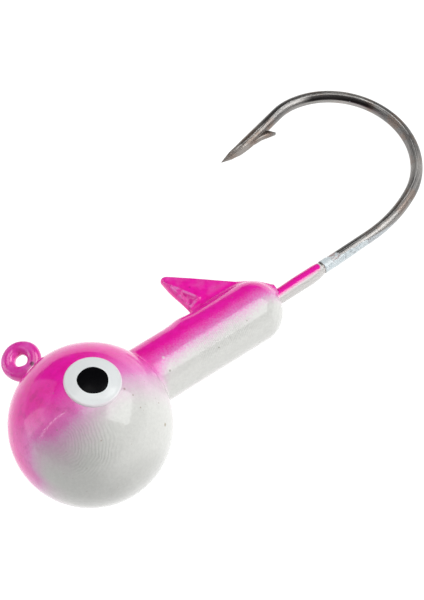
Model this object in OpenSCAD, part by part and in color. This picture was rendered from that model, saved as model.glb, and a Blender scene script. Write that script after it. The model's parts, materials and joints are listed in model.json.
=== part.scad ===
// Ball jig head: a lead ball and collar cast round a bent hook, painted, lying on its side on a table.
// The hook lies in one plane. In that plane X runs back along the shank from the centre of the ball,
// Y runs from the shank towards the hook point, and Z points out of one side of the head.

/* [Ball and collar] */
// Diameter of the painted ball
head_d = 14.4; // [12:0.1:17]
// Diameter of the painted collar behind the ball
collar_d = 5.64; // [4.5:0.1:7]
// Height of the collar's axis above the ball's centre, towards the hook point
collar_offset = 1.1; // [0.5:0.05:2]
// Distance from the ball's centre to the rounded end of the collar
collar_reach = 21.6; // [19:0.1:26]
// Thickness of the paint on the lead
coat_t = 0.2; // [0.15:0.01:0.3]
// Depth of the pink spray within the paint
pink_t = 0.1; // [0.05:0.01:0.12]

/* [Bait keeper] */
// Distance from the ball's centre to the keeper's upright front edge
keeper_front = 14.1; // [12:0.1:17]
// Distance from the ball's centre to where the keeper's slope meets the collar
keeper_back = 19.6; // [18:0.1:23]
// Height of the keeper's tip above the ball's centre
keeper_top = 8.6; // [7:0.1:10]
// Thickness of the keeper at the collar
keeper_base_t = 2.0; // [1.2:0.1:2.5]
// Thickness of the keeper at its tip
keeper_tip_t = 1.0; // [0.6:0.1:1.2]
// Length over which the keeper's front edge widens to its full thickness
keeper_nose_l = 1.2; // [0.5:0.1:2]

/* [Hook wire] */
// Diameter of the hook wire
wire_d = 1.14; // [0.9:0.02:1.3]
// Angle at which the shank rises from the collar's axis
shank_rise = 1.9; // [0:0.1:4]
// Distance from the ball's centre to where the shank starts to bend
bend_start = 32.8; // [30:0.1:38]
// Radius and angle of the easy first part of the bend
entry_bend = [16.2, 24]; // [1:1:40]
// Radius and angle of the main round bend
main_bend = [7.65, 147]; // [1:1:180]
// Radius and angle of the last part of the bend, which turns the point inwards
throat_bend = [5.8, 21]; // [1:1:40]
// Radius of the bend inside the ball, between the shank and the line tie
elbow_r = 2.2; // [1.5:0.1:3]

/* [Point and barb] */
// Length of the straight leg from the end of the bend to the tip of the point
point_l = 8.0; // [6:0.1:10]
// Length of the ground part of the point
grind_l = 3.9; // [3:0.1:5]
// Length of the steeper grind at the very tip
tip_grind_l = 1.1; // [0.8:0.1:1.5]
// Distance from the end of the bend to the tip of the barb
barb_x = 1.9; // [1.5:0.1:2.5]
// Height of the barb's tip above the middle of the wire
barb_rise = 1.35; // [1:0.05:1.5]
// Thickness of the barb
barb_t = 0.5; // [0.3:0.05:0.7]

/* [Line tie] */
// Distance of the line tie ahead of the ball's centre
tie_ahead = 1.1; // [0:0.1:3]
// Height of the line tie's centre above the ball's centre
tie_h = 8.75; // [8.5:0.05:9.2]
// Diameter of the ring's centre line
ring_mid_d = 2.4; // [2.3:0.02:2.6]
// Angle by which the ring is turned on its leg, out of the plane of the hook
ring_twist = 22; // [0:1:40]
// Diameter of the wire in the ring
ring_wire_d = 1.1; // [0.9:0.02:1.1]
// Thickness of the paint on the ring
ring_coat_t = 0.1; // [0.08:0.01:0.12]
// Diameter of the round hole through the painted ring
tie_bore_d = 1.16; // [1.12:0.01:1.2]

/* [Painted shank] */
// Thickness of the full paint next to the collar
sleeve_t = 0.14; // [0.08:0.01:0.2]
// Distance from the ball's centre to the end of the full paint
sleeve_end = 27.1; // [24:0.1:28]
// Thickness of the thin paint that is left beyond it
film_t = 0.07; // [0.05:0.01:0.1]
// Distance from the ball's centre to the end of the thin paint
film_end = 32.6; // [29:0.1:32.6]

/* [Eyes] */
// Diameter of the white eye
eye_d = 5; // [4:0.05:6]
// Place of the middle of the eye, backwards and upwards from the middle of the ball
eye_place = [0, 0.2]; // [-0.5:0.05:0.5]
// Height of the eye above the ball
eye_t = 0.1; // [0.05:0.01:0.15]
// Diameter of the black pupil
pupil_d = 2.85; // [2:0.05:3]
// Depth of the pupil in the eye
pupil_t = 0.06; // [0.03:0.01:0.08]
// Distance of the pupil from the middle of the eye, backwards and upwards
pupil_shift = [-0.05, -0.05]; // [-0.3:0.01:0.3]

/* [Lying pose] */
// Direction, from the line of the collar, of the place where the bend touches the table
touch_dir = -34; // [-55:1:-20]
// Distance by which the pink paint dips below the ball's centre at the nose
pink_dip = 2.4; // [1:0.1:4]

/* [Hidden] */

head_r = head_d / 2;
collar_r = collar_d / 2;
wire_r = wire_d / 2;
ring_mid_r = ring_mid_d / 2;
ring_wire_r = ring_wire_d / 2;
tie = [-tie_ahead, tie_h];

BALL_FN = 120;
WIRE_FN = 48;
SWEEP_FN = 144;
BEAD = 0.01;
GRIND_SLOPE = 0.2;
POINT_Y = -0.42;
POINT_HALF = 0.02;
EDGE_HALF = 0.3;
TIP_ROUND = 0.4;
BIG = 100;

PINK = [0.86, 0.11, 0.60];
PEARL = [0.88, 0.89, 0.86];
LEAD = [0.45, 0.46, 0.48];
BRONZE = [0.36, 0.32, 0.29];
EYE_WHITE = [0.93, 0.95, 0.94];
PUPIL_BLACK = [0.05, 0.05, 0.06];

// The hook's centre line: an elbow inside the ball, the shank, then three arcs that meet tangentially.
function left_of(dir) = [-sin(dir), cos(dir)];
function shank_at(x) = [x, collar_offset + (x - collar_reach) * tan(shank_rise)];

elbow_end = shank_at(tie.x + elbow_r * (1 + sin(shank_rise)));
elbow_c = elbow_end + elbow_r * left_of(shank_rise);
shank_l = (bend_start - elbow_end.x) / cos(shank_rise);
leg_l = tie.y - ring_mid_r - elbow_c.y;

entry_dir = shank_rise + entry_bend[1];
entry_c = shank_at(bend_start) + entry_bend[0] * left_of(shank_rise);
main_c = entry_c + (main_bend[0] - entry_bend[0]) * left_of(entry_dir);
main_dir = entry_dir + main_bend[1];
throat_c = main_c + (throat_bend[0] - main_bend[0]) * left_of(main_dir);

// Lying on its side, the jig stands on one eye and on the outside of the main bend.
stand_h = head_r + eye_t;
touch = [cos(touch_dir), sin(touch_dir)];
tilt = asin((stand_h - wire_r) / (main_c * touch + main_bend[0]));

// Table X and Y, seen in the plane of the hook.
across = [-touch.y, touch.x];
table_x = touch.x * cos(tilt) * touch - touch.y * across;
table_y = touch.y * cos(tilt) * touch + touch.x * across;

function arc_edge(c, r, dir) = c * dir + r * norm(dir) + wire_r;
middle_x = (arc_edge(main_c, main_bend[0], table_x) - head_r) / 2;
middle_y = (arc_edge(throat_c, throat_bend[0], table_y) - head_r) / 2;

module lay() {
    translate([-middle_x, -middle_y, stand_h])
        rotate([0, 0, touch_dir])
            rotate([0, tilt, 0])
                rotate([0, 0, -touch_dir])
                    children();
}

// A round rod along X.
module rod(len, r) {
    rotate([0, 90, 0]) cylinder(h = len, r = r, $fn = WIRE_FN);
}

// A bead a hair wider than the wire, where two lengths of it meet. Its poles lie inside the wire.
module bead() {
    rotate([0, 90, 0]) sphere(r = wire_r + BEAD, $fn = WIRE_FN);
}

// A straight length of wire along X, with the children at its far end.
module straight(len) {
    rod(len, wire_r);
    translate([len, 0, 0]) {
        bead();
        children();
    }
}

// A bend to the left from the X direction, with the children at its far end.
module bend(arc) {
    translate([0, arc[0], 0]) {
        rotate([0, 0, -90])
            rotate_extrude(angle = arc[1], $fn = SWEEP_FN)
                translate([arc[0], 0]) circle(r = wire_r, $fn = WIRE_FN);
        rotate([0, 0, arc[1]]) translate([0, -arc[0], 0]) {
            bead();
            children();
        }
    }
}

// The middle of the line tie, with Z along its hole.
module at_tie() {
    translate([tie.x, tie.y, 0]) rotate([0, -ring_twist, 0]) children();
}

module ring(tube_r) {
    at_tie()
        rotate_extrude($fn = SWEEP_FN / 2)
            translate([ring_mid_r, 0]) circle(r = tube_r, $fn = WIRE_FN);
}

// The ring and the wire down from it, round the elbow and back along the shank.
module tie_and_shank() {
    ring(ring_wire_r);
    translate([tie.x, tie.y - ring_mid_r, 0])
        rotate([0, 0, -90]) {
            bead();
            straight(leg_l) bend([elbow_r, 90 + shank_rise]) straight(shank_l) children();
        }
}

// The straight leg: two grinds on the gap side and one on each flank bring it to a needle point.
module point_leg() {
    heel = point_l - grind_l;
    heel_y = wire_r + (heel + 1) * GRIND_SLOPE;
    tip_x = point_l - tip_grind_l;
    tip_y = wire_r - (tip_x - heel) * GRIND_SLOPE;
    flank_x = heel + grind_l / 3;
    intersection() {
        rod(point_l, wire_r);
        linear_extrude(height = 2 * wire_d, center = true)
            polygon([[-1, -wire_d], [flank_x, -wire_d], [flank_x, -wire_r],
                     [point_l, POINT_Y - POINT_HALF], [point_l, POINT_Y + POINT_HALF],
                     [tip_x, tip_y], [-1, heel_y]]);
        rotate([90, 0, 0])
            linear_extrude(height = 3 * wire_d, center = true)
                polygon([[-1, -wire_d], [flank_x, -wire_r], [point_l, -POINT_HALF],
                         [point_l, POINT_HALF], [flank_x, wire_r], [-1, wire_d]]);
    }
}

// The barb is a sliver cut from the gap side of the leg and raised backwards.
module barb() {
    heel = point_l - grind_l;
    back_x = barb_x + barb_t / 2;
    root_x = barb_x + 0.7;
    front_x = barb_x + barb_rise;
    back_y = barb_rise - 0.6;
    root_y = 0.2;
    linear_extrude(height = barb_t, center = true)
        polygon([[barb_x, barb_rise], [back_x, back_y], [root_x, root_y], [heel + 0.3, root_y],
                 [heel + 0.1, wire_r - POINT_HALF], [front_x, back_y + BEAD]]);
}

module hook() {
    color(BRONZE) lay() {
        tie_and_shank() bend(entry_bend) bend(main_bend) bend(throat_bend) {
            point_leg();
            barb();
        }
    }
}

// The outside of the ball, collar and keeper, sunk below the finished surface by the given depth.
module cast_form(depth) {
    sphere(r = head_r - depth, $fn = BALL_FN);
    translate([0, collar_offset, 0]) {
        rotate([0, 90, 0]) {
            cylinder(h = collar_reach - collar_r, r = collar_r - depth, $fn = BALL_FN);
            translate([0, 0, collar_reach - collar_r]) sphere(r = collar_r - depth, $fn = BALL_FN);
        }
    }
    keeper(depth);
}

// A fin with a blunt upright front edge and a long slope down to the collar, thinner towards its tip.
module keeper(depth) {
    front = keeper_front + depth;
    wide = keeper_front + keeper_nose_l;
    back = keeper_back - 2 * depth;
    top = keeper_top - depth;
    collar_top = collar_offset + collar_r - depth;
    root = collar_offset + collar_r / 2;
    base_half = keeper_base_t / 2 - depth;
    tip_half = keeper_tip_t / 2 - depth;
    edge_half = EDGE_HALF - depth;
    intersection() {
        linear_extrude(height = 2 * keeper_base_t, center = true)
            polygon([[front, root], [front, top - TIP_ROUND], [front + TIP_ROUND, top],
                     [back, collar_top], [back, root]]);
        translate([0, keeper_top, 0])
            rotate([90, 0, 0])
                linear_extrude(height = keeper_top)
                    polygon([[front, -edge_half], [wide, -base_half], [back, -base_half],
                             [back, base_half], [wide, base_half], [front, edge_half]]);
        rotate([0, 90, 0])
            linear_extrude(height = keeper_back)
                polygon([[-base_half, root], [base_half, root], [base_half, collar_top],
                         [tip_half, top], [-tip_half, top], [-base_half, collar_top]]);
    }
}

module lead_casting() {
    color(LEAD) lay() difference() {
        cast_form(coat_t);
        tie_and_shank();
    }
}

// Everything above a line from the rounded end of the collar down to the nose.
module pink_side() {
    drop = atan((pink_dip + collar_offset) / (collar_reach + head_r));
    translate([collar_reach, collar_offset, 0])
        rotate([0, 0, drop])
            translate([-BIG, 0, -BIG / 2]) cube([2 * BIG, BIG, BIG]);
}

module pink_layer() {
    intersection() {
        difference() {
            cast_form(0);
            cast_form(pink_t);
        }
        pink_side();
    }
}

module pearl_paint() {
    color(PEARL) lay() difference() {
        cast_form(0);
        cast_form(coat_t);
        pink_layer();
        tie_and_shank();
    }
}

module pink_paint() {
    color(PINK) lay() difference() {
        pink_layer();
        tie_and_shank();
    }
}

module line_tie_paint() {
    color(PINK) lay() difference() {
        ring(ring_wire_r + ring_coat_t);
        tie_and_shank();
        cast_form(0);
        at_tie() cylinder(h = 2 * wire_d, d = tie_bore_d, center = true, $fn = WIRE_FN);
    }
}

module shank_paint() {
    full_l = sleeve_end - collar_reach + collar_r;
    thin_l = film_end - collar_reach + collar_r;
    start = shank_at(collar_reach - collar_r);
    color(PINK) lay() difference() {
        translate([start.x, start.y, 0]) rotate([0, 0, shank_rise]) difference() {
            union() {
                rod(full_l, wire_r + sleeve_t);
                rod(thin_l, wire_r + film_t);
            }
            translate([-1, 0, 0]) rod(thin_l + 2, wire_r);
        }
        translate([collar_reach - collar_r, collar_offset, 0])
            rotate([0, 90, 0]) sphere(r = collar_r, $fn = BALL_FN);
    }
}

// A round patch of the shell between two depths of eye paint, on the side that side = 1 or -1 names.
module eye_patch(d, bottom, top, place, side) {
    intersection() {
        difference() {
            sphere(r = head_r + top, $fn = BALL_FN);
            sphere(r = head_r + bottom, $fn = BALL_FN);
        }
        translate([place.x, place.y, side * head_r / 2])
            cylinder(h = 2 * head_r, d = d, center = true, $fn = WIRE_FN);
    }
}

module pupil_patch(side) {
    eye_patch(pupil_d, eye_t - pupil_t, eye_t, eye_place + pupil_shift, side);
}

module eye_white(side) {
    color(EYE_WHITE) lay() difference() {
        eye_patch(eye_d, 0, eye_t, eye_place, side);
        pupil_patch(side);
    }
}

module left_eye() { eye_white(1); }
module right_eye() { eye_white(-1); }
module left_pupil() { color(PUPIL_BLACK) lay() pupil_patch(1); }
module right_pupil() { color(PUPIL_BLACK) lay() pupil_patch(-1); }

hook();
lead_casting();
pearl_paint();
pink_paint();
line_tie_paint();
shank_paint();
left_eye();
right_eye();
left_pupil();
right_pupil();
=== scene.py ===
"""Looks for the painted ball jig head: lead ball and collar cast round a bent hook, lying on its side."""

import json
import math

import bmesh
import bpy
import numpy as np
from mathutils import Matrix, Vector


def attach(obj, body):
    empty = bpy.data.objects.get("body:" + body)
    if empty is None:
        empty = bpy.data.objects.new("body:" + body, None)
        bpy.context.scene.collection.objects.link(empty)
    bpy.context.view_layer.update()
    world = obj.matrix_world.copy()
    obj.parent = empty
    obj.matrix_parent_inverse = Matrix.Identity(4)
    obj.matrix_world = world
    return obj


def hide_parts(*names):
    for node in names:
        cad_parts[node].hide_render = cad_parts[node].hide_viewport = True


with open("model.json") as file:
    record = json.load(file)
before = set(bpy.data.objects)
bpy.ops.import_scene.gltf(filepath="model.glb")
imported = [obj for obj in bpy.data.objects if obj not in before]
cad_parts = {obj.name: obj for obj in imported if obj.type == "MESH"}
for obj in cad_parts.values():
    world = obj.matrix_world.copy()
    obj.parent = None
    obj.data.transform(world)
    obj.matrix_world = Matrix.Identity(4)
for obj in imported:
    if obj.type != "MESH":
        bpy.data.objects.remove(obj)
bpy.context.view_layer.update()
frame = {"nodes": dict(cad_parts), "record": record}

MM = 0.001

# The part's own dimensions, in millimetres and degrees, in the jig's frame: X back along the collar
# from the ball's centre, Y towards the line tie and the hook point, Z out of the left side.
HEAD_R = 7.2
COLLAR_R = 2.82
COLLAR_Y = 1.1
COLLAR_END = 21.6
COLLAR_TOP = COLLAR_Y + COLLAR_R
KEEPER_FRONT, KEEPER_BACK, KEEPER_TOP = 14.1, 19.6, 8.6
KEEPER_HALF, KEEPER_TIP_HALF, KEEPER_TIP_L = 1.0, 0.5, 0.4
WIRE_R = 0.57
SHANK_RISE = 1.9
BEND_START = 32.8
BENDS = ((16.2, 24), (7.65, 147), (5.8, 21))
ELBOW_R = 2.2
POINT_L, GRIND_L, TIP_GRIND_L, GRIND_SLOPE, POINT_Y = 8.0, 3.9, 1.1, 0.2, -0.42
BARB_X, BARB_RISE, BARB_T = 1.9, 1.35, 0.5
TIE_X, TIE_Y, RING_MID_R, RING_WIRE_R, RING_TWIST = -1.1, 8.75, 1.2, 0.55, 22
TIE_HOLE_R = 0.58
LEG_TOP = TIE_Y - RING_MID_R
SLEEVE_END, FILM_END = 27.1, 32.6
EYE_R, EYE_T, EYE_Y = 2.5, 0.1, 0.2
PUPIL_R, PUPIL_X, PUPIL_Y = 1.425, -0.05, 0.15

# Details that only the visual model has.
BULGE_X, BULGE_RISE = 12.3, 0.17  # the swelling on top of the collar
SEAM_RISE = 0.03  # the ridge on the ball just outside the collar
FIN_EDGE_LOW, FIN_EDGE_HIGH = 0.2, 0.42  # half the thickness of the fin's front edge
FACET = ((14.42, 6.7), (15.26, 4.75), (14.55, 4.7))  # the small flat on the fin's left side
FACET_DEPTH, BRIM_RISE, BRIM_OUT = 0.06, 0.07, 0.12
FIN_PITS = ((15.51, 6.13), (17.38, 4.76))
PIT_DEPTH = 0.06
FOOT_R = WIRE_R + 0.1  # the paint round the hook's leg under the line tie
SLEEVE_LOW = 205  # direction of the side of the shank where the paint hung, from upright towards the left
SAG_X, LUMP_X = 25.5, 24.0  # where the paint on the shank hangs lowest, and where it is thick all round
PINK_END = 26.86
BLOB_END, RUST_X, SMEAR_END = 28.0, 28.6, 28.9
SHADED_CREVICE = (-0.80, 7.60, 0.80)  # the gap between the ring and the ball, seen from the left, where a painted shadow goes


def lay_matrix():
    """The jig's frame in the row frame, from the mounts at the line tie and on the collar."""
    mounts = {m["name"]: m for m in frame["record"]["mounts"]}
    tie, collar = (Vector(mounts[name]["pos_m"]) for name in ("line_tie", "bait_collar"))
    back = Vector(mounts["bait_collar"]["axis"]).normalized()
    up = tie - collar
    up = (up - up.dot(back) * back).normalized()
    m = Matrix((back, up, back.cross(up))).transposed().to_4x4()
    m.translation = tie - (back * TIE_X + up * TIE_Y) * MM
    return m


LAY = lay_matrix()


# ---------------------------------------------------------------- meshes


def link(thing):
    bpy.context.scene.collection.objects.link(thing)
    return thing


def make_piece(name, verts, faces, material, nodes, normals=None, attributes=None):
    """A smooth piece from points in the jig's frame, in millimetres. Its mesh is in the row frame."""
    axes, centre = np.array(LAY.to_3x3()), np.array(LAY.translation)
    mesh = bpy.data.meshes.new(name)
    mesh.from_pydata([tuple(v) for v in np.asarray(verts) * MM @ axes.T + centre], [], faces)
    for key, values in (attributes or {}).items():
        data = mesh.attributes.new(key, "FLOAT", "POINT")
        data.data.foreach_set("value", np.asarray(values, np.float32))
    if normals is None:
        bm = bmesh.new()
        bm.from_mesh(mesh)
        bmesh.ops.recalc_face_normals(bm, faces=bm.faces)
        bm.to_mesh(mesh)
        bm.free()
    mesh.shade_smooth()
    if normals is not None:
        mesh.normals_split_custom_set_from_vertices([tuple(n) for n in normals @ axes.T])
    mesh.materials.append(material)
    piece = link(bpy.data.objects.new(name, mesh))
    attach(piece, "root")
    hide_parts(*nodes)
    return piece


def soft_min(a, b, k):
    """The smaller of two distances, blended where they are within k of each other."""
    h = np.clip(0.5 + 0.5 * (b - a) / k, 0, 1)
    return b * (1 - h) + a * h - k * h * (1 - h)


def soft_max(a, b, k):
    return -soft_min(-a, -b, k)


def step(lo, hi, v):
    """A smooth step from 0 at lo to 1 at hi."""
    t = np.clip((v - lo) / (hi - lo), 0, 1)
    return t * t * (3 - 2 * t)


def bump_at(v, centre, width):
    """A bell curve, 1 at its centre."""
    return np.exp(-(((v - centre) / width) ** 2))


def angle_bump(angle, centre, width):
    """A bell curve over an angle in radians, with no jump where the angle wraps."""
    return bump_at(np.angle(np.exp(1j * (angle - centre))), 0, width)


def angles_round(count):
    return np.arange(count) * 2 * math.pi / count


def facet_edges():
    """The three edges of the flat as (a, b, c): a x + b y + c is the distance inside the edge."""
    edges = []
    for i in range(3):
        (ax, ay), (bx, by) = FACET[i], FACET[(i + 1) % 3]
        length = math.hypot(bx - ax, by - ay)
        a, b = (by - ay) / length, -(bx - ax) / length
        edges.append((a, b, -(a * ax + b * ay)))
    return edges


def facet_depth(x, y):
    """How far a place is inside the small triangular flat low on the left of the fin's front edge."""
    return np.minimum.reduce([a * x + b * y + c for a, b, c in facet_edges()])


def fin_marks_depth(x, y, z):
    """How deep the flat and the pits are cut into the fin's left side, less the brim's rise."""
    inside = facet_depth(x, y)
    depth = FACET_DEPTH * step(-0.02, 0.12, inside) - BRIM_RISE * bump_at(inside, -BRIM_OUT, 0.1)
    for pit_x, pit_y in FIN_PITS:
        depth = depth + PIT_DEPTH * np.exp(-((x - pit_x) ** 2 + (y - pit_y) ** 2) / 0.012)
    return depth * step(0, 0.2, z)


def keeper_distance(p):
    """The fin: a long slope, tapered sides, and a front edge that is blunt at the tip and thin below."""
    x, y, z = p.T
    side = np.abs(z)
    rise = KEEPER_TOP - COLLAR_TOP
    taper = (KEEPER_HALF - KEEPER_TIP_HALF) / rise
    flat = side - (KEEPER_HALF - taper * (y - COLLAR_TOP))
    high = step(COLLAR_TOP + 0.6, KEEPER_TOP - 1.2, y)
    front = KEEPER_FRONT + 0.1 - 0.15 * high
    edge = FIN_EDGE_LOW + (FIN_EDGE_HIGH - FIN_EDGE_LOW) * high
    nose_slope = (KEEPER_HALF - edge) / (1.15 - 0.1 * high)
    nose = (side - edge - nose_slope * (x - front)) / np.hypot(1, nose_slope)
    tip_end = KEEPER_FRONT + KEEPER_TIP_L
    run = KEEPER_BACK - tip_end
    bow = 0.05 * bump_at(x, 16.5, 1.5)
    slope = ((x - tip_end) * rise + (y - KEEPER_TOP - bow) * run) / math.hypot(run, rise)
    body = soft_max(soft_max(flat, nose, 0.2), front - x, 0.3)
    body = soft_max(body, soft_max(slope, y - KEEPER_TOP, 0.25), 0.3)
    return soft_max(body + fin_marks_depth(x, y, z), 1 - y, 0.1)


def head_distance(p):
    """Distance to the painted surface of the ball, collar, keeper and the foot of the line tie."""
    x, y, z = p.T
    ball = np.sqrt(x * x + y * y + z * z) - HEAD_R
    along = np.clip(x, 0, COLLAR_END - COLLAR_R)
    radial = np.sqrt((x - along) ** 2 + (y - COLLAR_Y) ** 2 + z * z)
    lift = np.clip((y - COLLAR_Y) / np.maximum(radial, 1e-6), 0, 1) ** 2
    collar = radial - COLLAR_R - BULGE_RISE * bump_at(x, BULGE_X, 0.9) * lift
    foot_y = np.clip(y, 5, LEG_TOP)
    foot = np.sqrt((x - TIE_X) ** 2 + (y - foot_y) ** 2 + z * z) - FOOT_R
    ball = ball - SEAM_RISE * bump_at(collar, 0.5, 0.13) * step(0, 2, x)
    body = soft_min(ball, collar, 0.4)
    body = soft_min(body, keeper_distance(p), 0.5)
    return soft_min(body, foot, 0.35)


def gradient(distance, p):
    h = 0.004
    columns = []
    for axis in range(3):
        d = np.zeros(3)
        d[axis] = h
        columns.append((distance(p + d) - distance(p - d)) / (2 * h))
    return np.stack(columns, 1)


def add_fin_blank(bm):
    """A plain prism where the fin goes, a little thinner than the fin."""
    side = [(KEEPER_FRONT, 2), (KEEPER_FRONT, KEEPER_TOP), (KEEPER_FRONT + 0.6, KEEPER_TOP),
            (KEEPER_BACK, COLLAR_TOP), (KEEPER_BACK, 2)]
    rows = [[bm.verts.new((x, y, z)) for x, y in side] for z in (-0.9, 0.9)]
    bm.faces.new(rows[0][::-1])
    bm.faces.new(rows[1])
    for i in range(len(side)):
        j = (i + 1) % len(side)
        bm.faces.new((rows[0][i], rows[0][j], rows[1][j], rows[1][i]))


def head_blank():
    """A rough closed union of the head's forms, remeshed evenly, in millimetres."""
    bm = bmesh.new()
    bmesh.ops.create_icosphere(bm, subdivisions=5, radius=HEAD_R)
    turn = Matrix.Rotation(math.pi / 2, 4, "Y")
    middle = Matrix.Translation((COLLAR_END / 2 - COLLAR_R / 2, COLLAR_Y, 0))
    bmesh.ops.create_cone(bm, cap_ends=True, segments=64, radius1=COLLAR_R, radius2=COLLAR_R,
                          depth=COLLAR_END - COLLAR_R, matrix=middle @ turn)
    end = Matrix.Translation((COLLAR_END - COLLAR_R, COLLAR_Y, 0))
    bmesh.ops.create_icosphere(bm, subdivisions=4, radius=COLLAR_R, matrix=end)
    foot = Matrix.Translation((TIE_X, 6.4, 0)) @ Matrix.Rotation(math.pi / 2, 4, "X")
    bmesh.ops.create_cone(bm, cap_ends=True, segments=32, radius1=FOOT_R, radius2=FOOT_R,
                          depth=3, matrix=foot)
    add_fin_blank(bm)
    mesh = bpy.data.meshes.new("head_blank")
    bm.to_mesh(mesh)
    bm.free()
    blank = link(bpy.data.objects.new("head_blank", mesh))
    remesh = blank.modifiers.new("remesh", "REMESH")
    remesh.mode = "VOXEL"
    remesh.voxel_size = 0.15
    graph = bpy.context.evaluated_depsgraph_get()
    even = bpy.data.meshes.new_from_object(blank.evaluated_get(graph))
    points = np.zeros(len(even.vertices) * 3)
    even.vertices.foreach_get("co", points)
    faces = [tuple(f.vertices) for f in even.polygons]
    bpy.data.objects.remove(blank)
    bpy.data.meshes.remove(mesh)
    bpy.data.meshes.remove(even)
    return points.reshape(-1, 3), faces


def painted_head(material):
    """The blank, with its points moved onto the painted surface in a few short steps."""
    points, faces = head_blank()
    for _ in range(8):
        slope = gradient(head_distance, points)
        size = np.maximum((slope * slope).sum(1), 0.2)
        points = points - (head_distance(points) / size)[:, None] * slope * 0.9
    normals = gradient(head_distance, points)
    normals /= np.linalg.norm(normals, axis=1)[:, None]
    return make_piece("painted_head", points, faces, material, ("pearl_paint", "pink_paint"),
                      normals=normals)


def grid_faces(rows, columns, first=0):
    """Quads over rows of closed rings."""
    faces = []
    for i in range(rows - 1):
        for j in range(columns):
            a, b = first + i * columns + j, first + i * columns + (j + 1) % columns
            faces.append((a, b, b + columns, a + columns))
    return faces


def end_faces(rows, columns, first=0):
    """The faces that close the first and the last ring."""
    last = first + (rows - 1) * columns
    return [tuple(range(first, first + columns))[::-1], tuple(range(last, last + columns))]


def left_of(deg):
    return np.array((-math.sin(math.radians(deg)), math.cos(math.radians(deg))))


def ahead(deg):
    return np.array((math.cos(math.radians(deg)), math.sin(math.radians(deg))))


def shank_at(x):
    return np.array((x, COLLAR_Y + (x - COLLAR_END) * math.tan(math.radians(SHANK_RISE))))


def hook_line():
    """Points on the hook's centre line, their directions and their distances along it."""
    rise = math.sin(math.radians(SHANK_RISE))
    elbow_end = shank_at(TIE_X + ELBOW_R * (1 + rise))
    shank_l = (BEND_START - elbow_end[0]) / math.cos(math.radians(SHANK_RISE))
    elbow_c = elbow_end + ELBOW_R * left_of(SHANK_RISE)
    place, heading = np.array((TIE_X, LEG_TOP)), -90.0
    leg_l = place[1] - elbow_c[1]
    # A line is its length and the distance between points, an arc is its radius and its angle.
    parts = [("line", leg_l, 0.5), ("arc", ELBOW_R, 90 + SHANK_RISE), ("line", shank_l, 0.4)]
    parts += [("arc", r, a) for r, a in BENDS]
    points, headings, runs, run = [place], [heading], [0.0], 0.0
    for kind, a, b in parts:
        n = max(2, int(a / b)) if kind == "line" else max(4, int(b / 1.5))
        centre = place + a * left_of(heading)
        for i in range(1, n + 1):
            if kind == "line":
                points.append(place + ahead(heading) * a * i / n)
                headings.append(heading)
                runs.append(run + a * i / n)
            else:
                turned = heading + b * i / n
                points.append(centre - a * left_of(turned))
                headings.append(turned)
                runs.append(run + a * math.radians(b) * i / n)
        place, heading, run = points[-1], headings[-1], runs[-1]
    return points, headings, runs


def hook_run(x):
    """The distance along the hook's centre line of the place on the straight shank at x."""
    points, _, runs = hook_line()
    start = next(i for i, p in enumerate(points) if p[0] >= TIE_X + ELBOW_R and p[1] < 2)
    return runs[start] + (x - points[start][0]) / math.cos(math.radians(SHANK_RISE))


def point_section(x, angles):
    """Radii of the ground leg's section about its middle height, x along from the end of the bend."""
    tip_half, small = 0.02, 1e-6
    heel, tip_x = POINT_L - GRIND_L, POINT_L - TIP_GRIND_L
    flank_x = heel + GRIND_L / 3
    tip_y = WIRE_R - (tip_x - heel) * GRIND_SLOPE
    top = np.interp(x, (0, heel, tip_x, POINT_L), (WIRE_R, WIRE_R, tip_y, POINT_Y + tip_half))
    low = np.interp(x, (0, flank_x, POINT_L), (-WIRE_R, -WIRE_R, POINT_Y - tip_half))
    half = np.interp(x, (0, flank_x, POINT_L), (WIRE_R, WIRE_R, tip_half))
    middle = (top + low) / 2
    c, s = np.cos(angles), np.sin(angles)
    reach = -middle * c + np.sqrt(np.maximum(WIRE_R**2 - (middle * s) ** 2, 0))
    reach = np.where(c > small, np.minimum(reach, (top - middle) / np.maximum(c, small)), reach)
    reach = np.where(c < -small, np.minimum(reach, (middle - low) / np.maximum(-c, small)), reach)
    return middle, np.minimum(reach, half / np.maximum(np.abs(s), small))


def hook_piece(material):
    sides = 64
    angles = angles_round(sides)
    points, headings, runs = hook_line()
    verts, along, turn = [], [], []

    def ring(place, heading, run, middle=0.0, reach=WIRE_R):
        radii = np.broadcast_to(reach, angles.shape)
        offset = middle + radii * np.cos(angles)
        flat = place[None, :] + offset[:, None] * left_of(heading)[None, :]
        verts.extend(np.column_stack((flat, radii * np.sin(angles))))
        along.extend([run] * sides)
        turn.extend(angles / (2 * math.pi))

    for place, heading, run in zip(points, headings, runs):
        ring(place, heading, run)
    end, heading, run = points[-1], headings[-1], runs[-1]
    leg = np.concatenate((np.linspace(0.4, POINT_L - GRIND_L, 10),
                          np.linspace(POINT_L - GRIND_L, POINT_L, 66)[1:]))
    for x in leg:
        middle, reach = point_section(x, angles)
        ring(end + ahead(heading) * x, heading, run + x, middle, reach)
    rows = len(points) + len(leg)
    faces = grid_faces(rows, sides) + end_faces(rows, sides)
    add_barb(verts, faces, along, turn, end, heading, run)
    add_ring_wire(verts, faces, along, turn)
    return make_piece("hook_wire", verts, faces, material, ("hook",),
                      attributes={"along": along, "turn": turn})


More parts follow.
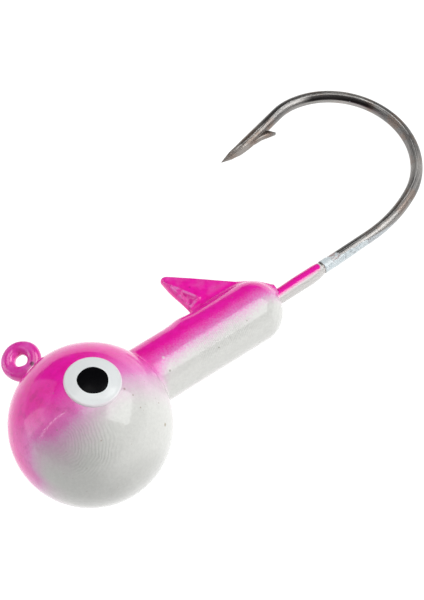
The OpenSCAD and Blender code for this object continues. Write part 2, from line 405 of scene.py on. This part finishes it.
def add_barb(verts, faces, along, turn, end, heading, run):
    """The sliver raised from the gap side of the leg, thinner at its edges than along its middle."""
    heel = POINT_L - GRIND_L
    back_y = BARB_RISE - 0.6
    outline = [(BARB_X, BARB_RISE), (BARB_X + BARB_T / 2, back_y), (BARB_X + 0.7, 0.2),
               (heel + 0.3, 0.2), (heel + 0.1, WIRE_R - 0.02), (BARB_X + BARB_RISE, back_y + 0.01)]
    middle = np.mean(outline, axis=0)
    first = len(verts)
    for z, shrink in ((-BARB_T / 2, 0.93), (-BARB_T / 3, 1.0), (BARB_T / 3, 1.0), (BARB_T / 2, 0.93)):
        for corner in outline:
            x, y = middle + (np.array(corner) - middle) * shrink
            flat = end + ahead(heading) * x + left_of(heading) * y
            verts.append((flat[0], flat[1], z))
            along.append(run + x)
            turn.append(0.5 + z)
    faces.extend(grid_faces(4, len(outline), first) + end_faces(4, len(outline), first))


def tie_point(radius, theta, height):
    """A point of the line tie, from its own radius, angle and height, in the jig's frame."""
    t = math.radians(RING_TWIST)
    x = radius * np.cos(theta)
    y = radius * np.sin(theta)
    return np.stack((TIE_X + x * math.cos(t) - height * math.sin(t), TIE_Y + y,
                     x * math.sin(t) + height * math.cos(t)), -1)


def torus(mid, tube, count, sides):
    """Points of a ring whose tube radius may change round it, with the hole kept round."""
    theta = np.repeat(angles_round(count), sides)
    phi = np.tile(angles_round(sides), count)
    thick = tube(theta, phi)
    radius = np.maximum(mid + thick * np.cos(phi), TIE_HOLE_R)
    return tie_point(radius, theta, thick * np.sin(phi)), theta, phi


def torus_faces(count, sides, first=0):
    faces = []
    for i in range(count):
        for j in range(sides):
            a, b = i * sides + j, i * sides + (j + 1) % sides
            c, d = (a + sides) % (count * sides), (b + sides) % (count * sides)
            faces.append((first + a, first + b, first + d, first + c))
    return faces


def add_ring_wire(verts, faces, along, turn):
    """The bare wire of the ring, just inside its paint."""
    count, sides = 72, 24
    points, theta, phi = torus(RING_MID_R, lambda t, p: np.full_like(t, RING_WIRE_R - 0.02), count, sides)
    faces.extend(torus_faces(count, sides, len(verts)))
    verts.extend(points)
    along.extend(theta * RING_MID_R)
    turn.extend(phi / (2 * math.pi))


def painted_tie(material):
    """The paint on the ring, thicker and a little lumpy where it ran together by the ball."""
    count, sides = 128, 64

    def tube(theta, phi):
        run = 0.05 * angle_bump(theta, -2.0, 0.7)
        lumps = 0.012 * np.sin(3 * theta + 1.0) + 0.01 * np.sin(5 * theta + 2 * phi)
        return RING_WIRE_R + 0.09 + run + lumps

    points, _, _ = torus(RING_MID_R, tube, count, sides)
    return make_piece("painted_line_tie", points, torus_faces(count, sides), material,
                      ("line_tie_paint",))


def sleeve_full(x, angle, low):
    """Thickness of the paint sleeve nearest the collar, which hangs low and stops at an uneven edge."""
    sag = 0.09 + 0.05 * bump_at(x, SAG_X, 0.9)
    hang = 0.08 + 0.04 * bump_at(x, LUMP_X, 1.6) + sag * (0.5 + 0.5 * low)
    end = SLEEVE_END - 0.06 + 0.06 * np.sin(3 * angle + 1)
    return hang * (1 - 0.55 * step(26.2, 27.0, x)) * (1 - step(end - 0.14, end, x))


def sleeve_thin(x, angle, low):
    """Thickness of what is beyond the sleeve: a blob, a smear, and a lumpy film on the underside."""
    blob = 0.09 * (1 - step(BLOB_END, BLOB_END + 0.15, x + 0.1 * np.sin(2 * angle)))
    smear = 0.04 * (1 - step(SMEAR_END, SMEAR_END + 0.3, x + 0.15 * np.sin(3 * angle)))
    edge = 0.02 + 0.06 * np.sin(2.3 * x) + 0.04 * np.sin(5.1 * x + 1) + 0.25 * step(30, 33, x)
    film = (0.1 - 0.05 * step(29, 32, x)) * step(edge - 0.06, edge + 0.06, low)
    film *= 1 - step(FILM_END - 0.4, FILM_END - 0.05, x)
    lumps = 1 + 0.12 * np.sin(3.1 * x + 2 * angle) * step(SLEEVE_END + 0.1, 29, x)
    return np.maximum.reduce((blob, smear, film)) * step(SLEEVE_END, SLEEVE_END + 0.08, x) * lumps


def shank_sleeve(material):
    """Paint that crept along the wire: a full sleeve that hangs low, then a film on the underside."""
    count, sides = 200, 96
    x = np.repeat(np.linspace(COLLAR_END - 1.2, FILM_END, count), sides)
    angle = np.tile(angles_round(sides), count)
    low = np.cos(angle - math.radians(SLEEVE_LOW))
    full = sleeve_full(x, angle, low)
    # Bare stretches of the piece are kept 0.03 mm inside the wire.
    bare = WIRE_R - 0.03
    radius = bare + np.maximum(full, sleeve_thin(x, angle, low)) + 0.03 * (full > 0.001)
    flat = np.array([shank_at(v) for v in x])
    flat = flat + (radius * np.cos(angle))[:, None] * left_of(SHANK_RISE)[None, :]
    verts = np.column_stack((flat, radius * np.sin(angle)))
    faces = grid_faces(count, sides) + end_faces(count, sides)
    return make_piece("shank_sleeve", verts, faces, material, ("shank_paint",),
                      attributes={"back": x, "low": low})


def eye_cap(name, side, radius, height, centre, material, node):
    """A thin domed spot on the ball; radius(angle) and height(share of radius, angle) in millimetres."""
    rings, sides, sink = 28, 128, 0.1
    angle = angles_round(sides)
    verts = []
    # The last ring repeats the rim, a little below the ball's surface.
    for share, sunk in [(i / rings, False) for i in range(1, rings + 1)] + [(1.0, True)]:
        r = radius(angle) * share
        x, y = centre[0] + r * np.cos(angle), centre[1] + r * np.sin(angle)
        out = np.sqrt(HEAD_R**2 - x * x - y * y)
        grow = 1 + (np.full(sides, -sink) if sunk else height(share, angle)) / HEAD_R
        verts.extend(np.column_stack((x * grow, y * grow, side * out * grow)))
    faces = grid_faces(rings + 1, sides)
    top = (HEAD_R + float(height(0.0, angle[:1])[0])) / HEAD_R
    out = math.sqrt(HEAD_R**2 - centre[0] ** 2 - centre[1] ** 2)
    hub = len(verts)
    verts.append((centre[0] * top, centre[1] * top, side * out * top))
    faces.extend((hub, (j + 1) % sides, j) for j in range(sides))
    faces.append(end_faces(rings + 1, sides)[1])
    return make_piece(name, verts, faces, material, (node,))


def white_height(share, angle):
    """A flat spot with a raised rim, and a groove inside the rim on its lower front side."""
    edge = step(1.0, 0.955, share)
    rim = 0.045 * bump_at(share, 0.93, 0.03)
    groove = 0.035 * angle_bump(angle, -2.05, 0.55) * bump_at(share, 0.8, 0.025)
    return edge * (EYE_T - 0.03 + rim) - groove


def pupil_height(share, angle):
    """A low dome."""
    return np.full_like(angle, EYE_T - 0.05 + 0.055 * (1 - share**2) ** 0.5)


def white_radius(angle):
    return EYE_R * (1.008 + 0.012 * np.cos(2 * (angle - 0.96)) + 0.004 * np.sin(3 * angle + 1))


def pupil_radius(angle):
    return PUPIL_R * (1 + 0.014 * np.sin(3 * angle) + 0.01 * np.sin(5 * angle + 2))


def eyes(white, black):
    for name, side in (("left", 1), ("right", -1)):
        eye_cap(name + "_eye_white", side, white_radius, white_height, (0, EYE_Y), white,
                name + "_eye")
        eye_cap(name + "_eye_pupil", side, pupil_radius, pupil_height, (PUPIL_X, PUPIL_Y), black,
                name + "_pupil")


# ---------------------------------------------------------------- materials


class Nodes:
    """Short calls for building a material's node tree."""

    def __init__(self, name):
        self.material = bpy.data.materials.new(name)
        self.material.use_nodes = True
        self.tree = self.material.node_tree
        self.shader = self.tree.nodes["Principled BSDF"]

    def put(self, socket, value):
        if isinstance(value, bpy.types.NodeSocket):
            self.tree.links.new(value, socket)
        elif value is not None:
            socket.default_value = value

    def math(self, operation, a, b=None, c=None):
        node = self.tree.nodes.new("ShaderNodeMath")
        node.operation = operation
        for socket, value in zip(node.inputs, (a, b, c)):
            self.put(socket, value)
        return node.outputs[0]

    def times(self, first, *others):
        """The product of several values."""
        for value in others:
            first = self.math("MULTIPLY", first, value)
        return first

    def plus(self, first, *others):
        """The sum of several values."""
        for value in others:
            first = self.math("ADD", first, value)
        return first

    def off(self, value, centre):
        """How far a value is from a centre, to either side."""
        return self.math("ABSOLUTE", self.math("SUBTRACT", value, centre))

    def vector(self, operation, a, b=None, scale=None):
        node = self.tree.nodes.new("ShaderNodeVectorMath")
        node.operation = operation
        self.put(node.inputs[0], a)
        self.put(node.inputs[1], b)
        if scale is not None:
            node.inputs["Scale"].default_value = scale
        gives_number = operation in ("DISTANCE", "LENGTH", "DOT_PRODUCT")
        return node.outputs["Value" if gives_number else "Vector"]

    def place(self):
        """The point in the jig's frame, in millimetres."""
        node = self.tree.nodes.new("ShaderNodeTexCoord")
        away = self.vector("SUBTRACT", node.outputs["Object"], LAY.translation)
        away = self.vector("SCALE", away, scale=1 / MM)
        return self.join(*(self.vector("DOT_PRODUCT", away, LAY.col[i].xyz) for i in range(3)))

    def split(self, vector):
        node = self.tree.nodes.new("ShaderNodeSeparateXYZ")
        self.put(node.inputs[0], vector)
        return node.outputs

    def join(self, x, y, z):
        node = self.tree.nodes.new("ShaderNodeCombineXYZ")
        for socket, value in zip(node.inputs, (x, y, z)):
            self.put(socket, value)
        return node.outputs[0]

    def shade(self, color, grey):
        """The colour, darker or brighter by a factor."""
        return self.vector("MULTIPLY", color, self.join(grey, grey, grey))

    def attribute(self, name):
        node = self.tree.nodes.new("ShaderNodeAttribute")
        node.attribute_name = name
        return node.outputs["Fac"]

    def noise(self, vector, scale, detail=2.0, rough=0.5):
        node = self.tree.nodes.new("ShaderNodeTexNoise")
        self.put(node.inputs["Vector"], vector)
        for key, value in (("Scale", scale), ("Detail", detail), ("Roughness", rough)):
            node.inputs[key].default_value = value
        return node.outputs["Fac"]

    def swing(self, vector, scale, detail, reach, rough=0.5):
        """Noise about 0, from -reach / 2 to reach / 2."""
        return self.math("MULTIPLY_ADD", self.noise(vector, scale, detail, rough), reach, -reach / 2)

    def ramp(self, value, lo, hi, out_lo=0.0, out_hi=1.0, smooth=True):
        """From out_lo at lo to out_hi at hi, and level beyond; lo may be the larger of the two."""
        node = self.tree.nodes.new("ShaderNodeMapRange")
        node.interpolation_type = "SMOOTHSTEP" if smooth else "LINEAR"
        self.put(node.inputs["Value"], value)
        for key, v in (("From Min", lo), ("From Max", hi), ("To Min", out_lo), ("To Max", out_hi)):
            self.put(node.inputs[key], v)
        return node.outputs[0]

    def mix(self, share, a, b):
        node = self.tree.nodes.new("ShaderNodeMix")
        node.data_type = "RGBA"
        self.put(node.inputs[0], share)
        self.put(node.inputs[6], a)
        self.put(node.inputs[7], b)
        return node.outputs[2]

    def spot(self, place, centre, radius, soft=0.5):
        """1 within a small round spot, 0 outside it."""
        away = self.vector("DISTANCE", place, centre)
        return self.ramp(away, radius * (1 + soft), radius * (1 - soft))

    def bump(self, height, rise_mm, strength=1.0, normal=None):
        node = self.tree.nodes.new("ShaderNodeBump")
        node.inputs["Distance"].default_value = rise_mm * MM
        self.put(node.inputs["Strength"], strength)
        self.put(node.inputs["Height"], height)
        self.put(node.inputs["Normal"], normal)
        return node.outputs[0]

    def finish(self, color, rough, normal=None, **fixed):
        """Fills the shader's sockets, with the fixed ones as plain numbers."""
        self.put(self.shader.inputs["Base Color"], color)
        self.put(self.shader.inputs["Roughness"], rough)
        self.put(self.shader.inputs["Normal"], normal)
        for key, value in fixed.items():
            self.shader.inputs[key.replace("_", " ")].default_value = value
        return self.material


def on_ball(x, y):
    """The point of the ball's left side at x and y."""
    return (x, y, math.sqrt(HEAD_R**2 - x * x - y * y))


PINK, DEEP_PINK = (0.94, 0.009, 0.44, 1), (0.88, 0.004, 0.36, 1)
RAW_PINK, DUSTY_PINK = (0.6, 0.02, 0.26, 1), (0.68, 0.16, 0.42, 1)
TIE_PINK, PALE_TIE_PINK = (0.8, 0.035, 0.42, 1), (0.84, 0.12, 0.55, 1)
LILAC, PALE_LILAC = (0.84, 0.3, 0.66, 1), (0.86, 0.72, 0.8, 1)
PEARL, BRIGHT_PEARL = (0.71, 0.715, 0.685, 1), (0.76, 0.765, 0.735, 1)
SHANK_PEARL, SHANK_PEARL_BRIGHT = (0.62, 0.6, 0.585, 1), (0.7, 0.69, 0.67, 1)
GLINT_WHITE = (0.84, 0.84, 0.835, 1)
COOL_WHITE, WARM_WHITE = (0.84, 0.88, 0.89, 1), (0.88, 0.9, 0.9, 1)
BLACK, SOFT_BLACK = (0.001, 0.001, 0.0015, 1), (0.003, 0.003, 0.004, 1)
OCHRE, BROWN, DULL_GREEN = (0.3, 0.21, 0.08, 1), (0.36, 0.25, 0.2, 1), (0.2, 0.2, 0.12, 1)
WINE, CREVICE_SHADOW = (0.4, 0.01, 0.17, 1), (0.12, 0.005, 0.06, 1)
DIRT, RUST, CRACK = (0.3, 0.2, 0.15, 1), (0.38, 0.24, 0.23, 1), (0.08, 0.05, 0.055, 1)
TIE_PEARL = (0.6, 0.5, 0.56, 1)
ICE, PALE_ICE, ICE_GREY = (0.6, 0.72, 0.77, 1), (0.76, 0.79, 0.8, 1), (0.3, 0.33, 0.35, 1)
NICKEL, WORN_NICKEL = (0.2, 0.194, 0.19, 1), (0.46, 0.445, 0.425, 1)
TARNISH, TIP_BROWN = (0.27, 0.19, 0.15, 1), (0.15, 0.105, 0.075, 1)
DARK_REFLECTION, STREAK_HIGHLIGHT, WIRE_FILM = (0.012, 0.01, 0.011, 1), (0.8, 0.79, 0.77, 1), (0.55, 0.59, 0.62, 1)
LEAD, BRIGHT_LEAD = (0.16, 0.165, 0.175, 1), (0.3, 0.305, 0.315, 1)

# Dust and stains in the lacquer, and two painted highlights (white glints on the collar and its end):
# place, radius in millimetres and colour.
SPECKS = [(on_ball(1.79, -1.86), 0.1, BROWN), (on_ball(2.17, -2.6), 0.08, BROWN),
          (on_ball(2.19, -3.69), 0.07, BROWN), (on_ball(4.26, -3.65), 0.07, BROWN),
          (on_ball(-2.3, -4.2), 0.07, BROWN), (on_ball(3.95, -5.1), 0.15, OCHRE),
          (on_ball(-4.7, -1.2), 0.07, BROWN),
          ((8.02, -0.58, 2.26), 0.1, DULL_GREEN), ((13.18, -0.99, 1.89), 0.07, DULL_GREEN),
          ((16.73, -0.41, 2.38), 0.06, DULL_GREEN), ((14.4, 7.9, 0.15), 0.28, WINE),
          ((14.35, 4.5, 0.2), 0.14, WINE)]
SPECKS += [((pit_x, pit_y, 0.7), 0.1, WINE) for pit_x, pit_y in FIN_PITS]
# Painted highlights: white glints on the collar and on the dome at its end.
SPECKS += [((8.15, 0.58, 2.77), 0.13, GLINT_WHITE), ((20.86, 1.36, 1.89), 0.15, GLINT_WHITE)]


def pink_mask(n, place):
    """Airbrushed pink over the top, soft on the ball and tighter on the collar, lower at the nose."""
    x, y, z = n.split(place)
    on_collar = n.ramp(x, 5.5, 8.5)
    nose = n.plus(n.ramp(x, 1.0, -3.2, 0.0, 1.2), n.ramp(x, -6.35, -7.2, 0.0, 0.8))
    thin = n.times(n.ramp(x, -5.0, -6.6, 0.0, 1.4), n.ramp(z, 0.2, 1.6))
    drift = n.ramp(x, 9.0, 19.0, -0.1, 0.05)
    nape = n.ramp(x, 0.5, 4.5, 0.0, 0.7)
    grain = n.swing(place, 6.5, 3, 1.5, 0.7)
    cloud = n.swing(place, 0.5, 2, 0.5)
    height = n.plus(y, nape, n.math("SUBTRACT", nose, thin))
    height = n.plus(n.math("SUBTRACT", height, drift), n.plus(grain, cloud))
    lo = n.math("MULTIPLY_ADD", on_collar, 3.45, -3.4)
    hi = n.math("MULTIPLY_ADD", on_collar, -0.95, 3.7)
    return n.ramp(height, lo, hi)


def sprayed_color(n, place):
    """Pearl below, pink above, lilac where one fades into the other, and a slight mottle."""
    pink = pink_mask(n, place)
    pearl = n.mix(n.noise(place, 0.7, 3), PEARL, BRIGHT_PEARL)
    rose = n.mix(n.ramp(n.noise(place, 1.2, 3), 0.35, 0.75), PINK, DEEP_PINK)
    color = n.mix(n.ramp(pink, 0.0, 0.5, smooth=False), pearl, LILAC)
    color = n.mix(n.ramp(pink, 0.35, 1.0, smooth=False), color, rose)
    mottle = n.ramp(n.noise(place, 3.4, 3, 0.65), 0.3, 0.7, 0.95, 1.04, smooth=False)
    return n.shade(color, mottle)


def add_stains(n, place, color, ridges):
    """Wine blotches, painted shade on the ball's lower front and bottom rim, then the ridges' tone, dirt
    and specks, two of them painted glints.
    """
    x, y, _ = n.split(place)
    blotch = n.times(n.ramp(n.noise(place, 1.0, 4, 0.65), 0.5, 0.66), n.ramp(x, -1.0, -2.8),
                     n.ramp(n.off(y, 1.2), 3.4, 1.2))
    color = n.mix(n.times(blotch, 0.24), color, WINE)
    # Painted shade: the ball's lower front and its bottom rim are made darker.
    painted_shade = n.times(n.ramp(x, -0.5, -4.5), n.ramp(y, 0.8, -2.6))
    color = n.shade(color, n.math("MULTIPLY_ADD", painted_shade, -0.17, n.ramp(y, -6.0, -7.1, 1.0, 0.87)))
    color = n.shade(color, n.ramp(ridges, -1.0, 1.0, 0.97, 1.03, smooth=False))
    dirt = n.ramp(n.noise(place, 2.6, 1), 0.775, 0.8)
    color = n.mix(n.times(dirt, 0.4), color, DIRT)
    for centre, radius, tone in SPECKS:
        color = n.mix(n.times(n.spot(place, centre, radius), 0.6), color, tone)
    return color


def facet_inside(n, x, y):
    """How far a place is inside the small flat low on the fin's front edge, in millimetres."""
    inside = None
    for a, b, c in facet_edges():
        away = n.math("MULTIPLY_ADD", y, b, n.math("MULTIPLY_ADD", x, a, c))
        inside = away if inside is None else n.math("MINIMUM", inside, away)
    return inside


def add_fin_marks(n, place, color):
    """A pale veil over the fin, and on its left side the flat's rough patch inside a brim whose pale line
    is a painted highlight along its raised edge.
    """
    x, y, z = n.split(place)
    on_fin = n.times(n.ramp(y, 4.1, 4.6), n.ramp(x, 12.0, 13.5))
    veil = n.times(on_fin, n.ramp(n.noise(place, 0.8, 3), 0.42, 0.7, 0.0, 0.2))
    color = n.mix(veil, color, LILAC)
    inside = facet_inside(n, x, y)
    left = n.ramp(z, 0.1, 0.3)
    # Painted highlight: a pale line along the flat's raised brim.
    brim = n.times(n.ramp(n.off(inside, -BRIM_OUT), 0.2, 0.02),
                   n.ramp(n.noise(place, 1.7, 2), 0.4, 0.6, 0.1, 0.7), left)
    color = n.mix(brim, color, LILAC)
    flat = n.times(n.ramp(inside, -0.04, 0.1), left)
    scab = n.mix(n.ramp(n.noise(place, 2.4, 3), 0.42, 0.6), RAW_PINK, DUSTY_PINK)
    return n.mix(n.times(flat, 0.45), color, scab)


def fingerprint(n, place):
    """Fine ridges in the lacquer: a fingerprint low on the ball's front, and marks across the collar."""
    x, y, _ = n.split(place)
    wander = n.noise(place, 0.6, 2, 0.5)
    away = n.vector("DISTANCE", place, on_ball(-5.2, -1.9))
    phase = n.math("MULTIPLY_ADD", away, 22.0, n.times(wander, 17.0))
    near = n.times(n.ramp(n.vector("DISTANCE", place, on_ball(-3.6, -3.9)), 3.3, 1.6),
                   n.ramp(n.noise(place, 0.9, 2), 0.3, 0.6, 0.35, 1.2))
    print_marks = n.times(n.math("SINE", phase), near)
    across = n.math("SINE", n.math("MULTIPLY_ADD", x, 36.0, n.times(wander, 6.0)))
    band = n.times(n.ramp(n.off(x, 14.0), 4.0, 2.0), n.ramp(n.off(y, -0.5), 1.2, 0.5))
    return n.math("MULTIPLY_ADD", n.times(across, band), 1.2, print_marks)


def paint_material():
    n = Nodes("airbrushed_paint")
    place = n.place()
    ridges = fingerprint(n, place)
    color = add_stains(n, place, sprayed_color(n, place), ridges)
    color = add_fin_marks(n, place, color)
    normal = n.bump(ridges, 0.007)
    normal = n.bump(n.noise(place, 0.8, 2), 0.05, normal=normal)
    normal = n.bump(n.noise(place, 5, 3, 0.6), 0.005, normal=normal)
    rough = n.ramp(n.noise(place, 1.5, 3), 0.3, 0.8, 0.12, 0.24)
    return n.finish(color, rough, normal, Coat_Weight=0.5, Coat_Roughness=0.065,
                    Specular_IOR_Level=0.15)


def tie_material():
    """Pink, paler low on the ring's front, with a painted shadow in the crevice where the ring meets the
    ball.
    """
    n = Nodes("line_tie_paint")
    place = n.place()
    color = n.mix(n.ramp(n.noise(place, 0.9, 2), 0.35, 0.7), TIE_PINK, PALE_TIE_PINK)
    x, y, z = n.split(place)
    under = n.plus(n.times(x, 0.8), n.times(z, 0.6))
    pale = n.times(n.ramp(under, -2.1, -2.6), n.ramp(y, 8.6, 8.0))
    color = n.mix(n.times(pale, 0.6), color, TIE_PEARL)
    # Painted shadow in the crevice between the ring and the ball.
    color = n.mix(n.times(n.spot(place, SHADED_CREVICE, 0.2), 0.92), color, CREVICE_SHADOW)
    normal = n.bump(n.noise(place, 1.1, 1), 0.05)
    return n.finish(color, 0.2, normal, Coat_Weight=0.4, Coat_Roughness=0.06)


def sleeve_film(n, place, back, side):
    """The worn bluish film beyond the sleeve, speckled further back, with a rusty smear on it."""
    icy = n.mix(n.noise(place, 2.5, 3), ICE, PALE_ICE)
    speckled = n.mix(n.ramp(n.noise(place, 7, 3, 0.7), 0.36, 0.5), ICE_GREY, icy)
    film = n.mix(n.ramp(back, RUST_X, RUST_X + 1), icy, speckled)
    rust = n.ramp(n.noise(place, 3, 3), 0.35, 0.6)
    smear = n.times(n.ramp(n.off(back, RUST_X), 0.6, 0.3), n.ramp(side, 0.3, 0.0))
    return n.mix(n.times(smear, rust, 0.8), film, RUST)


def sleeve_material():
    """Pink along the top and pearl below, a dark crack, and a worn bluish film beyond it."""
    n = Nodes("shank_paint")
    place = n.place()
    back, low = n.attribute("back"), n.attribute("low")
    bare = n.mix(n.noise(place, 2, 2), SHANK_PEARL, SHANK_PEARL_BRIGHT)
    side = n.plus(low, n.swing(place, 4, 2, 0.1))
    corner = n.times(n.ramp(side, -0.5, 0.2), 0.25)
    pink = n.times(n.ramp(side, 0.28, -0.26), n.ramp(n.plus(back, corner), PINK_END, PINK_END - 0.16))
    color = n.mix(pink, bare, n.mix(n.ramp(side, -0.9, -0.3), DEEP_PINK, PINK))
    color = n.mix(n.ramp(back, SLEEVE_END, SLEEVE_END + 0.1), color, sleeve_film(n, place, back, side))
    crack = n.times(n.ramp(n.off(back, SLEEVE_END), 0.1, 0.04), n.ramp(side, 0.45, 0.1))
    color = n.mix(n.times(crack, 0.85), color, CRACK)
    lumpy = n.ramp(back, SLEEVE_END - 0.1, SLEEVE_END + 0.2, 0.1, 1.0)
    normal = n.bump(n.noise(place, 5, 3), 0.025, lumpy)
    return n.finish(color, 0.2, normal, Coat_Weight=0.3, Coat_Roughness=0.06)


def hook_material():
    """Black-nickel wire: worn grey, drawn streaks, tarnish, a painted dark reflection band, a painted
    highlight streak, and paint dust.
    """
    n = Nodes("black_nickel")
    place = n.place()
    along, turn = n.attribute("along"), n.attribute("turn")
    angle = n.times(turn, 2 * math.pi)
    past = n.math("SUBTRACT", along, hook_run(FILM_END))

    def stretch(rise, fall):
        """1 on a stretch of the wire, faded at both ends, in millimetres past the end of the sleeve."""
        return n.times(n.ramp(past, *rise), n.ramp(past, *fall[::-1]))

    drawn = n.join(n.times(n.math("COSINE", angle), 6.0), n.times(n.math("SINE", angle), 6.0),
                   n.times(along, 0.3))
    streaks = n.noise(drawn, 1.3, 4, 0.6)
    worn = n.ramp(n.math("MULTIPLY_ADD", n.noise(place, 0.16, 2), 0.6, n.times(streaks, 0.5)), 0.45, 0.7)
    tint = n.mix(worn, NICKEL, WORN_NICKEL)
    brown = n.times(n.ramp(n.noise(place, 0.45, 3), 0.5, 0.62), n.ramp(streaks, 0.36, 0.52))
    tint = n.mix(n.times(brown, 0.65), tint, TARNISH)
    tint = n.mix(n.ramp(past, 29.5, 32.5, 0.0, 0.4), tint, TIP_BROWN)
    # Painted reflection: a dark band along the top of the bend.
    band = n.times(n.ramp(n.off(turn, 0.13), 0.09, 0.06), stretch((17.4, 19.2), (24.6, 26.6)))
    tint = n.mix(n.times(band, 0.93), tint, DARK_REFLECTION)
    # Painted highlight: a bright streak along the wire.
    highlight_streak = n.times(n.ramp(n.off(turn, 0.235), 0.022, 0.01), n.ramp(streaks, 0.42, 0.5))
    tint = n.mix(n.times(highlight_streak, 0.7), tint, STREAK_HIGHLIGHT)

    low = n.math("COSINE", n.math("SUBTRACT", angle, math.radians(SLEEVE_LOW)))
    edge = n.ramp(past, -1.0, 4.5, 0.15, 0.9)
    film = n.times(stretch((-1.5, -1.0), (2.5, 5.0)), n.ramp(n.math("SUBTRACT", low, edge), -0.1, 0.15),
                   n.ramp(n.noise(place, 5, 3, 0.7), 0.33, 0.5))
    dust = n.ramp(n.noise(place, 3.2, 1), 0.79, 0.81)
    cover = n.math("MAXIMUM", n.times(film, 0.9), dust)
    tint = n.mix(cover, tint, WIRE_FILM)

    rough = n.plus(n.ramp(streaks, 0.3, 0.7, 0.28, 0.38), n.times(worn, 0.14))
    rough = n.math("MULTIPLY_ADD", stretch((4.0, 7.5), (15.5, 18.5)), 0.17, rough)
    n.put(n.shader.inputs["Metallic"], n.math("MULTIPLY_ADD", cover, -0.9, 0.95))
    return n.finish(tint, rough, n.bump(streaks, 0.015))


def eye_white_material():
    n = Nodes("eye_white")
    place = n.place()
    x, y, _ = n.split(place)
    out = n.vector("LENGTH", n.join(x, n.math("SUBTRACT", y, EYE_Y), 0.0))
    base = n.mix(n.noise(place, 1.5, 2), COOL_WHITE, WARM_WHITE)
    rim = n.ramp(out, EYE_R - 0.22, EYE_R - 0.04)
    color = n.mix(n.times(rim, 0.55), base, PALE_LILAC)
    normal = n.bump(n.noise(place, 1.2, 2), 0.05)
    return n.finish(color, 0.3, normal, Coat_Weight=0.25, Coat_Roughness=0.12)


def pupil_material():
    n = Nodes("pupil_black")
    place = n.place()
    color = n.mix(n.noise(place, 2.5, 3), BLACK, SOFT_BLACK)
    normal = n.bump(n.noise(place, 1.3, 2), 0.04)
    return n.finish(color, 0.3, normal, Coat_Weight=0.02, Coat_Roughness=0.1,
                    Specular_IOR_Level=0.06)


def lead_material():
    n = Nodes("cast_lead")
    place = n.place()
    color = n.mix(n.noise(place, 1.5, 4), LEAD, BRIGHT_LEAD)
    return n.finish(color, 0.5, n.bump(n.noise(place, 3, 4), 0.04), Metallic=0.9)


# ---------------------------------------------------------------- stage

# The camera's direction from the jig and its roll, in degrees, and where it looks: millimetres to the
# right of the ball's centre and above it, as the picture has them.
CAMERA_AZIMUTH, CAMERA_ELEVATION, CAMERA_ROLL = -26.91, 56.21, -13.36
CAMERA_AIM_RIGHT, CAMERA_AIM_UP, CAMERA_AWAY = 10.494, 10.814, 216
LENS, SENSOR = 149.68, 36
FLOOR_HALF_M = 1.2
LIGHT_AWAY_M = 0.35
WORLD_STRENGTH = 0.11


def floor():
    """A white sheet that gives off its own light, so that no shadow shows on it."""
    n = Nodes("paper")
    material = n.finish((0.2, 0.2, 0.2, 1), 0.9, Specular_IOR_Level=0.0,
                        Emission_Color=(1, 1, 1, 1), Emission_Strength=1.0)
    mesh = bpy.data.meshes.new("floor")
    half = FLOOR_HALF_M
    mesh.from_pydata([(-half, -half, 0), (half, -half, 0), (half, half, 0), (-half, half, 0)],
                     [], [(0, 1, 2, 3)])
    mesh.materials.append(material)
    sheet = link(bpy.data.objects.new("floor", mesh))


def softbox(name, azimuth, elevation, width, height, power):
    """A rectangular light that faces the ball from a direction in degrees, in metres and watts."""
    a, e = math.radians(azimuth), math.radians(elevation)
    away = Vector((math.cos(a) * math.cos(e), math.sin(a) * math.cos(e), math.sin(e)))
    data = bpy.data.lights.new(name, "AREA")
    data.shape, data.size, data.size_y, data.energy = "RECTANGLE", width, height, power
    light = link(bpy.data.objects.new(name, data))
    light.location = LAY.translation + away * LIGHT_AWAY_M
    light.rotation_mode = "QUATERNION"
    light.rotation_quaternion = (-away).to_track_quat("-Z", "Y")


def lights():
    world = bpy.data.worlds.new("studio")
    bpy.context.scene.world = world
    world.use_nodes = True
    background = world.node_tree.nodes["Background"]
    background.inputs["Color"].default_value = (1, 1, 1, 1)
    background.inputs["Strength"].default_value = WORLD_STRENGTH
    softbox("key", azimuth=-35, elevation=42, width=0.28, height=0.22, power=0.82)
    softbox("top", azimuth=0, elevation=84, width=0.2, height=0.2, power=0.27)
    softbox("left", azimuth=127, elevation=14, width=0.38, height=0.42, power=0.43)
    softbox("left_band", azimuth=143, elevation=9, width=0.12, height=0.34, power=0.22)
    softbox("strip", azimuth=163, elevation=40, width=0.01, height=0.34, power=0.06)


def camera():
    azimuth, elevation, roll = (math.radians(v) for v in (CAMERA_AZIMUTH, CAMERA_ELEVATION, CAMERA_ROLL))
    back = Vector((math.sin(azimuth) * math.cos(elevation),
                   -math.cos(azimuth) * math.cos(elevation), math.sin(elevation)))
    level = Vector((math.cos(azimuth), math.sin(azimuth), 0))
    right = level * math.cos(roll) + back.cross(level) * math.sin(roll)
    up = back.cross(right)
    aim = LAY.translation + (right * CAMERA_AIM_RIGHT + up * CAMERA_AIM_UP) * MM
    data = bpy.data.cameras.new("camera")
    data.lens, data.sensor_width = LENS, SENSOR
    data.clip_start, data.clip_end = 0.01, 10
    eye = link(bpy.data.objects.new("camera", data))
    turn = Matrix((right, up, back)).transposed()
    eye.matrix_world = Matrix.Translation(aim + back * CAMERA_AWAY * MM) @ turn.to_4x4()
    bpy.context.scene.camera = eye


def main():
    painted_head(paint_material())
    painted_tie(tie_material())
    shank_sleeve(sleeve_material())
    hook_piece(hook_material())
    eyes(eye_white_material(), pupil_material())
    lead = frame["nodes"]["lead_casting"]
    lead.data.materials.clear()
    lead.data.materials.append(lead_material())
    floor()
    lights()
    camera()
    bpy.context.scene.view_settings.view_transform = "Standard"


main()
bpy.context.view_layer.update()
